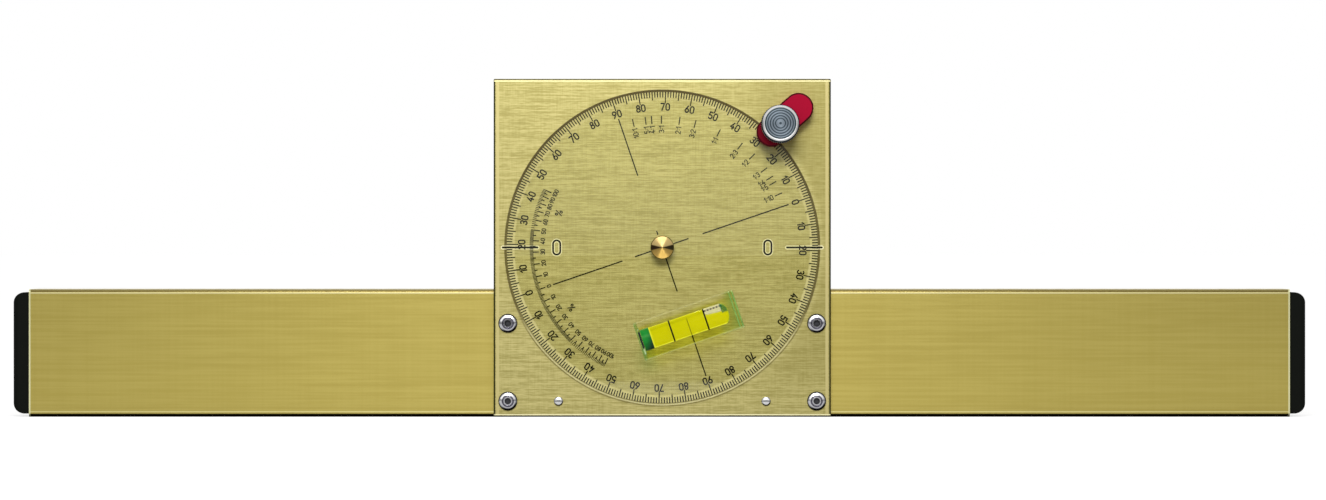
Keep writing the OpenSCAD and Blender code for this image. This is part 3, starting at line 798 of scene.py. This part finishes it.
def yellow_liquid():
    """A clear yellow liquid with a painted glow, and painted highlights and shade in bands along it and at
    its tip.
    """
    look = Look("yellow liquid", Roughness=0.2, Specular_IOR_Level=0.2, Emission_Strength=1.0)
    along, across = vial_places(look)
    cloud = look.noise(5, 2.0, 4.0)
    tip_shade = along.ramp(13.4, 13.8) * across.ramp(0.1, 0.8)
    in_tip = look.most(along - 14.0, 0.0) * (LIQUID_RADIUS / TIP_LENGTH)
    rim = along.ramp(14.2, 14.8) * look.length(in_tip, across).ramp(3.4, 3.7)
    edge_highlight = look.most(
        across.window(3.75, 4.0, 0.1) * 0.5,
        across.window(-4.2, -3.75, 0.15),
        along.window(-15.1, -14.6, 0.15),
    )
    middle = (pivot - block_middle).dot(vial_axis) / MM
    plumb_line = along.window(middle - 0.15, middle + 0.15, 0.08) * across.ramp(2.7, 2.3)
    # painted shade in a darker band and at the tip, a painted lit rim round the tip, painted highlights
    # along the edges, and the plumb line seen through
    colour = look.paint(
        look.blend(cloud, (0.59, 0.565, 0.001), (0.67, 0.63, 0.002)),
        (across.window(2.5, 3.3, 0.3) * 0.5, (0.45, 0.46, 0.004)),
        (tip_shade, (0.01, 0.14, 0.07)),
        (rim, (0.22, 0.36, 0.06)),
        (edge_highlight * 0.8, (0.92, 0.95, 0.1)),
        (plumb_line * 0.8, (0.1, 0.09, 0.005)),
    )
    look.drive("Base Color", look.blend(0.75, colour, (0.0, 0.0, 0.0)))
    # the emission is the painted glow
    look.drive("Emission Color", colour)
    clear = look.add("BsdfTransparent", {"Color": (0.97, 0.96, 0.2)})
    look.lamps_see(look.mix(0.5, clear, look.body), (1.0, 1.0, 0.55))
    return look.material


def bubble_air():
    """The bubble: a bright skin with a little painted glow, a dark line of painted broken reflections and a
    painted dark tip.
    """
    look = Look("bubble", Roughness=0.1, Specular_IOR_Level=0.3, Emission_Strength=0.2)
    along, across = vial_places(look)
    cloud = look.noise(2, 2.0, 4.0)
    reflection_dashes = look.math("SINE", along * (2 * math.pi / DASH_PITCH)).ramp(-0.8, -0.2)
    colour = look.paint(
        look.blend(cloud, (0.47, 0.44, 0.33), (0.6, 0.57, 0.45)),
        (across.ramp(3.4, 3.8), (0.5, 0.47, 0.42)),
        (across.window(2.95, 3.45, 0.08) * reflection_dashes, (0.03, 0.01, 0.06)),
        (along.ramp(13.3, 13.8), (0.01, 0.13, 0.07)),
    )
    look.drive("Base Color", colour)
    look.drive("Emission Color", colour)
    look.lamps_see(look.body, (1, 1, 0.9))
    return look.material


# Pieces


def in_scene(name, data):
    """A new object in the scene."""
    piece = bpy.data.objects.new(name, data)
    bpy.context.scene.collection.objects.link(piece)
    return piece


def piece_from(mesh, name, materials):
    """Turns a bmesh in the part's frame into an object with its materials."""
    data = bpy.data.meshes.new(name)
    mesh.to_mesh(data)
    mesh.free()
    for material in materials:
        data.materials.append(material)
    return in_scene(name, data)


def skin(mesh, rings):
    """Faces between neighbouring rings of vertices. A ring may be a single vertex."""
    for one, two in zip(rings, rings[1:]):
        count = max(len(one), len(two))
        for side in range(count):
            other = (side + 1) % count
            corners = [one[side % len(one)], one[other % len(one)]]
            corners += [two[other % len(two)], two[side % len(two)]]
            mesh.faces.new(list(dict.fromkeys(corners)))


# Flat printed strokes


def arc(centre_x, centre_y, radius_x, radius_y, start, end, steps=10):
    """Points of an elliptical arc, with its angles in degrees."""
    turns = [math.radians(start + (end - start) * step / steps) for step in range(steps + 1)]
    return [(centre_x + radius_x * math.cos(turn), centre_y + radius_y * math.sin(turn)) for turn in turns]


# Digits are strokes in a box GLYPH_WIDTH wide and 1 high: (closed, points)
GLYPH_WIDTH = 0.52
GLYPH_SPACE = 0.26
HALF = GLYPH_WIDTH / 2
SIX = [(0.4, 1.0)] + arc(HALF, 0.27, HALF, 0.27, 150, 510, 20)
GLYPHS = {
    "0": [(True, arc(HALF, 1 - HALF, HALF, HALF, 0, 180) + arc(HALF, HALF, HALF, HALF, 180, 360))],
    "1": [(False, [(0.05, 0.72), (0.3, 1.0), (0.3, 0.0)])],
    "2": [(False, arc(HALF, 1 - HALF, HALF, HALF, 170, -35) + [(0.0, 0.0), (GLYPH_WIDTH, 0.0)])],
    "3": [(False, arc(HALF, 0.765, 0.235, 0.235, 150, -90) + arc(HALF, 0.265, HALF, 0.265, 90, -150)[1:])],
    "4": [(False, [(0.34, 1.0), (0.0, 0.28), (0.54, 0.28)]), (False, [(0.38, 0.5), (0.38, 0.0)])],
    "5": [(False, [(0.47, 1.0), (0.06, 1.0), (0.02, 0.55)] + arc(HALF, 0.3, HALF, 0.3, 130, -150))],
    "6": [(False, SIX)],
    "7": [(False, [(0.0, 1.0), (GLYPH_WIDTH, 1.0), (0.16, 0.0)])],
    "8": [
        (True, arc(HALF, 0.76, 0.215, 0.24, 0, 330, 11)),
        (True, arc(HALF, 0.26, HALF, 0.26, 0, 330, 11)),
    ],
    "9": [(False, [(GLYPH_WIDTH - x, 1 - y) for x, y in SIX])],
    ":": [(False, [(0.0, 0.28), (0.0, 0.3)]), (False, [(0.0, 0.68), (0.0, 0.7)])],
    "%": [
        (True, arc(0.14, 0.8, 0.14, 0.19, 0, 330, 11)),
        (True, arc(0.66, 0.2, 0.14, 0.19, 0, 330, 11)),
        (False, [(0.14, 0.0), (0.66, 1.0)]),
    ],
}
ROUND_END_STEPS = (25, 50, 75)


def sections_of(points, half, closed, round_ends):
    """The left and right edge of a stroke at each of its points, mitred at corners."""
    count = len(points)
    legs = [(points[(index + 1) % count] - points[index]).normalized() for index in range(count)]
    pairs = []
    for index, point in enumerate(points):
        leg_in = legs[index - 1] if closed or index > 0 else legs[0]
        leg_out = legs[index] if closed or index < count - 1 else legs[count - 2]
        side_in = Vector((-leg_in.y, leg_in.x))
        side = side_in + Vector((-leg_out.y, leg_out.x))
        side = side.normalized() if side.length > 0.01 else side_in
        side *= half / max(side.dot(side_in), 0.5)
        pairs.append((point + side, point - side))
    if round_ends:
        for leg, point, first in ((-legs[0], points[0], True), (legs[count - 2], points[-1], False)):
            side = Vector((-leg.y, leg.x)) * (-half if first else half)
            for angle in ROUND_END_STEPS:
                tip = point + leg * half * math.sin(math.radians(angle))
                narrow = side * math.cos(math.radians(angle))
                pairs.insert(0 if first else len(pairs), (tip + narrow, tip - narrow))
    return pairs


def at(direction, radius):
    """A point of the dial's plane at a direction in degrees and a distance from the pivot."""
    turn = math.radians(direction)
    return Vector((math.cos(turn), math.sin(turn))) * radius


class Print:
    """Flat printed strokes in the plane behind the dial, as closed thin solids."""

    def __init__(self, name):
        self.name = name
        self.mesh = bmesh.new()

    def stroke(self, points, width, closed=False, round_ends=True):
        """Draws one stroke through points of the dial's plane."""
        points = [Vector(point) for point in points]
        pairs = sections_of(points, width / 2, closed, round_ends and not closed)
        near, far = -PRINT_GAP, -PRINT_GAP - PRINT_THICKNESS
        rings = []
        for left, right in pairs:
            corners = ((left, near), (right, near), (right, far), (left, far))
            places = [dial_back @ Vector((*flat, height)) for flat, height in corners]
            rings.append([self.mesh.verts.new(place) for place in places])
        skin(self.mesh, rings + rings[:1] if closed else rings)
        if not closed:
            self.mesh.faces.new(rings[0][::-1])
            self.mesh.faces.new(rings[-1])

    def tick(self, direction, start, end, width):
        """Draws a straight tick along a radius."""
        self.stroke((at(direction, start), at(direction, end)), width, round_ends=False)

    def label(self, text, height, stroke, centre, turn):
        """Writes text about a point of the dial's plane, turned by an angle in degrees."""
        width = text_width(text)
        rotation = Matrix.Rotation(math.radians(turn), 2)
        cursor = -width / 2
        for letter in text:
            for closed, points in GLYPHS[letter]:
                placed = [centre + rotation @ (Vector((cursor + x, y - 0.5)) * height) for x, y in points]
                self.stroke(placed, stroke, closed)
            cursor += glyph_width(letter) + GLYPH_SPACE

    def finish(self, material):
        """Turns the strokes into a piece that rides on the dial."""
        bmesh.ops.recalc_face_normals(self.mesh, faces=self.mesh.faces)
        piece = piece_from(self.mesh, self.name, (material,))
        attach(piece, "dial")


def glyph_width(letter):
    return max(x for _, points in GLYPHS[letter] for x, _ in points)


def text_width(text):
    return sum(glyph_width(letter) for letter in text) + GLYPH_SPACE * (len(text) - 1)


def degree_scale(material):
    """The ring of 360 ticks, numbered from 0 to 90 in each quarter."""
    scale = Print("degree_scale")
    for degree in range(360):
        step = 10 if degree % 10 == 0 else 5 if degree % 5 == 0 else 1
        scale.tick(degree, DEGREE_TICK_START[step], DEGREE_TICK_END, TICK_STROKE)
        if step == 10:
            number = 90 - abs(degree % 180 - 90)
            centre = at(degree, DEGREE_LABEL_RADIUS)
            scale.label(str(number), DEGREE_LABEL_HEIGHT, LABEL_STROKE, centre, degree - 90)
    scale.finish(material)


def percent_scale(material):
    """The slope in percent, above and below the left end of the level line."""
    scale = Print("percent_scale")
    for side in (-1, 1):
        for percent in (*range(0, 50), *range(50, 101, 2)):
            direction = 180 + side * math.degrees(math.atan(percent / 100))
            scale.tick(direction, *PERCENT_FINE_TICK, FINE_STROKE)
        for percent in range(0, 101, 5):
            direction = 180 + side * math.degrees(math.atan(percent / 100))
            whole = percent % 10 == 0
            scale.tick(direction, *(PERCENT_TEN_TICK if whole else PERCENT_FIVE_TICK), TICK_STROKE)
            if whole and (percent > 0 or side > 0):
                direction += side * LAST_LABEL_SHIFT * (percent == 100)
                centre = at(direction, PERCENT_LABEL_RADIUS)
                scale.label(str(percent), PERCENT_LABEL_HEIGHT, SMALL_STROKE, centre, direction - 90)
    for direction in PERCENT_SIGN_DIRECTIONS:
        centre = at(direction, PERCENT_SIGN_RADIUS)
        scale.label("%", PERCENT_SIGN_HEIGHT, SIGN_STROKE, centre, direction - 90)
    scale.finish(material)


def ratio_scale(material):
    """The slope as a ratio of height to length, in the upper right quarter."""
    scale = Print("ratio_scale")
    for height, length in RATIOS:
        direction = math.degrees(math.atan2(height, length))
        scale.tick(direction, *RATIO_TICK, TICK_STROKE)
        text = f"{height}:{length}"
        middle = RATIO_LABEL_END - text_width(text) * RATIO_LABEL_HEIGHT / 2
        scale.label(text, RATIO_LABEL_HEIGHT, SMALL_STROKE, at(direction, middle), direction)
    scale.finish(material)


def dial_lines(material):
    """The level line and the plumb line through the pivot."""
    lines = Print("dial_lines")
    for line in DIAL_LINES:
        lines.tick(*line, LINE_STROKE)
    lines.finish(material)


# Vial


def clear_block(acrylic, wall):
    """The vial block, lifted a hair off the dial, with its drilled wall as a surface of its own."""
    mesh = bmesh.new()
    mesh.from_mesh(nodes["vial_block"].data)
    bmesh.ops.remove_doubles(mesh, verts=mesh.verts, dist=SAME_PLACE)
    for vert in mesh.verts:
        if abs(vert.co.y - block_high.y) < SAME_PLACE:
            vert.co.y -= GLUE_GAP
    plug = in_vial(nodes["vial_plug"].data.vertices)
    plug_low = min(point.x for point in plug)
    bore = max(point.yz.length for point in plug) + BORE_MARGIN
    for face in mesh.faces:
        corners = in_vial(face.verts)
        inside = all(point.yz.length < bore for point in corners)
        wet = inside and max(point.x for point in corners) > plug_low
        face.material_index = 1 if wet else 0
    piece = piece_from(mesh, "clear_vial_block", (acrylic, wall))
    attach(piece, "dial")
    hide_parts("vial_block")
    return piece


def whole_liquid(material):
    """The liquid drawn whole: the bubble lies on it wherever it has travelled to."""
    along = [point.x for point in in_vial(nodes["vial_liquid"].data.vertices)]
    start, tip = min(along), max(along)
    profile = [(start, 0.0), (start, LIQUID_RADIUS)]
    for step in range(TIP_STEPS):
        turn = math.pi / 2 * step / TIP_STEPS
        profile.append((tip - TIP_LENGTH * (1 - math.sin(turn)), LIQUID_RADIUS * math.cos(turn)))
    profile.append((tip, 0.0))
    piece = turned(profile, "liquid", material)
    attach(piece, "dial")
    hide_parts("vial_liquid")
    return piece


def turned(profile, name, material):
    """A closed solid of revolution about the vial's axis."""
    mesh = bmesh.new()
    rings = []
    for along, radius in profile:
        sides = LIQUID_SIDES if radius else 1
        turns = [2 * math.pi * side / sides for side in range(sides)]
        spots = [Vector((along, radius * math.cos(turn), radius * math.sin(turn))) for turn in turns]
        rings.append([mesh.verts.new(vial_frame @ spot) for spot in spots])
    skin(mesh, rings)
    bmesh.ops.recalc_face_normals(mesh, faces=mesh.faces)
    for face in mesh.faces:
        face.smooth = True
    return piece_from(mesh, name, (material,))


def bubble(material):
    """The bubble: a slice of the bore's upper side with round ends and a sloping floor."""
    along = [point.x for point in in_vial(nodes["vial_bubble"].data.vertices)]
    start, end = min(along), max(along)
    floor_start, floor_end = BUBBLE_FLOOR
    mesh = bmesh.new()
    rings = []
    for step in range(BUBBLE_STEPS + 1):
        share = step / BUBBLE_STEPS
        place = start + (end - start) * share
        floor = floor_start + (floor_end - floor_start) * share
        swell = math.sqrt(1 - (2 * share - 1) ** BUBBLE_ROUNDING)
        reach = math.acos(floor / BUBBLE_RADIUS) * max(swell, BUBBLE_END)
        ring = []
        for side in range(BUBBLE_SIDES + 1):
            turn = reach * (2 * side / BUBBLE_SIDES - 1)
            spot = Vector((place, BUBBLE_RADIUS * math.cos(turn), BUBBLE_RADIUS * math.sin(turn)))
            ring.append(mesh.verts.new(vial_frame @ spot))
        rings.append(ring)
    skin(mesh, rings)
    mesh.faces.new(rings[0])
    mesh.faces.new(rings[-1][::-1])
    bmesh.ops.recalc_face_normals(mesh, faces=mesh.faces)
    for face in mesh.faces:
        face.smooth = len(face.verts) == 4
    piece = piece_from(mesh, "bubble", (material,))
    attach(piece, "bubble")
    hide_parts("vial_bubble")
    return piece


# Finishes of the CAD pieces


def dress(names, material):
    """Gives CAD nodes a material."""
    for name in names:
        data = nodes[name].data
        data.materials.clear()
        data.materials.append(material)


def dress_cad_pieces():
    """Gives the CAD nodes that stay, except the index marks, their finishes."""
    dress(["bar_profile"], bar_gold())
    dress(["face_plate"], plate_gold())
    dress(["pivot_screw"], brass("turned brass", lit_halves))
    dress(["pivot_spacer", "clamp_bush"], brass("plain brass"))
    dress(["clamp_knob"], knob_steel())
    dress(["vial_plug"], plug_green())
    dress(["dial_disc"], dial_acrylic())
    dress(["pivot_washer", "pivot_nut", "clamp_washer", "clamp_stud"], plated(
        "zinc plated steel", (0.62, 0.63, 0.64), (0.36, 0.37, 0.39), roughness=0.3
    ))
    dress(["blind_rivets"], plated(
        "rivet aluminium", (0.8, 0.8, 0.82), (0.6, 0.6, 0.63), roughness=0.16, shades=rivet_shades
    ))
    dress(["rivet_mandrels"], plated(
        "broken steel", (0.1, 0.1, 0.11), (0.02, 0.02, 0.02), roughness=0.5
    ))
    dress(["locating_screws"], plated(
        "chrome", (0.97, 0.97, 0.97), (0.85, 0.86, 0.87), roughness=0.2, shades=screw_shades
    ))
    dress(["end_cap_left", "end_cap_right"], plastic(
        "cap plastic", (0.006, 0.007, 0.005), (0.003, 0.004, 0.003), roughness=0.6, grain=0.3, relief=0.01
    ))
    dress(["clamp_shoe"], plastic(
        "shoe red", (0.44, 0.001, 0.03), (0.37, 0.001, 0.024), roughness=0.5, grain=0.4, relief=0.006,
        shades=shoe_shades,
    ))
    dress(["vial_rings"], plastic(
        "ring black", (0.01, 0.01, 0.01), (0.004, 0.004, 0.004), roughness=0.4, grain=0.2, relief=0.005
    ))


# Studio


def studio_level(studio):
    """How bright the studio is for reflections: soft lights above and below in front, dark beside."""
    x, y, z = studio.split(studio.add("TexCoord", output="Generated"))
    aside = studio.length(x, z)
    lit = (abs(z) / studio.most(aside, 0.001)).ramp(*DARK_SIDE_SLOPE)
    side = lit.remap(DARK_SIDE_LEVEL, BELT_LEVEL)
    front = y.ramp(*FRONT_LIGHT_REACH) * lit * aside.ramp(*CAMERA_SHADE)
    behind = y.ramp(*BACK_LIGHT_REACH)
    return side + front * (FRONT_LIGHT_LEVEL - BELT_LEVEL) + behind * (1.0 - side)


def studio_world():
    """White to the camera and through glass, soft lights in reflections, plain light on matt pieces."""
    world = bpy.data.worlds.new("studio")
    bpy.context.scene.world = world
    world.use_nodes = True
    studio = Nodes(world.node_tree)
    level = studio.pick("Is Glossy Ray", studio_level(studio), DIFFUSE_LEVEL)
    level = studio.pick("Is Transmission Ray", 1.0, level)
    level = studio.pick("Is Camera Ray", 1.0, level)
    background = studio.tree.nodes["Background"]
    studio.feed(background.inputs["Color"], (1, 1, 1))
    studio.feed(background.inputs["Strength"], level)


def floor():
    """A wide pale floor that renders white and keeps the object's shadow."""
    look = Look("floor", Base_Color=(0.5, 0.5, 0.5), Roughness=0.9, Specular_IOR_Level=0.0)
    look.drive("Emission Color", (1, 1, 1))
    level = look.pick("Is Transmission Ray", FLOOR_GLOW, 0.0)
    look.drive("Emission Strength", look.pick("Is Camera Ray", FLOOR_GLOW, level))
    x, y, _ = look.parts_from((0, 0, 0))
    beside = abs(x).ramp(*FLOOR_SIDES).remap(FLOOR_SHINE, DARK_SIDE_LEVEL)
    shine = abs(y).ramp(*FLOOR_UNDER) * y.ramp(*FLOOR_FRONT) * beside
    glow = look.add("Emission", {"Strength": shine})
    look.show(look.mix(look.add("LightPath", output="Is Glossy Ray"), look.body, glow))
    mesh = bmesh.new()
    bmesh.ops.create_grid(mesh, x_segments=1, y_segments=1, size=FLOOR_REACH)
    piece = piece_from(mesh, "floor", (look.material,))
    piece.location.z = -FLOOR_GAP


def key_lamp():
    """A wide soft lamp in front of the dial and above it."""
    data = bpy.data.lights.new("key", "AREA")
    data.shape = "RECTANGLE"
    data.size, data.size_y = LAMP_SIZE
    data.energy = LAMP_POWER
    piece = in_scene("key", data)
    piece.location = LAMP_PLACE
    piece.rotation_euler = (LAMP_TARGET - LAMP_PLACE).to_track_quat("-Z", "Y").to_euler()
    piece.visible_transmission = False


def camera():
    """The photograph's view: level, along +Y, in front of the plate."""
    data = bpy.data.cameras.new("camera")
    data.lens = CAMERA_LENS
    data.sensor_width = CAMERA_SENSOR
    distance = PHOTO_WIDTH * PHOTO_PIXEL * CAMERA_LENS / CAMERA_SENSOR
    piece = in_scene("camera", data)
    piece.location = (PHOTO_MIDDLE[0], plate_low.y - distance, PHOTO_MIDDLE[1])
    piece.rotation_euler = (math.pi / 2, 0, 0)
    bpy.context.scene.camera = piece


camera()
studio_world()
floor()
key_lamp()

dress_cad_pieces()
black = ink()
dress(["index_marks"], black)
degree_scale(black)
percent_scale(black)
ratio_scale(black)
dial_lines(black)
vial_pieces = [
    clear_block(vial_acrylic(), wetted_wall()),
    whole_liquid(yellow_liquid()),
    bubble(bubble_air()),
    nodes["vial_plug"],
    nodes["vial_rings"],
]
for piece in vial_pieces:  # kept out of the reflections that light the brushed plate
    piece.visible_glossy = False
    piece.visible_diffuse = False

bpy.context.scene.cycles.transparent_max_bounces = CLEAR_SURFACES
bpy.context.scene.view_settings.view_transform = "Standard"
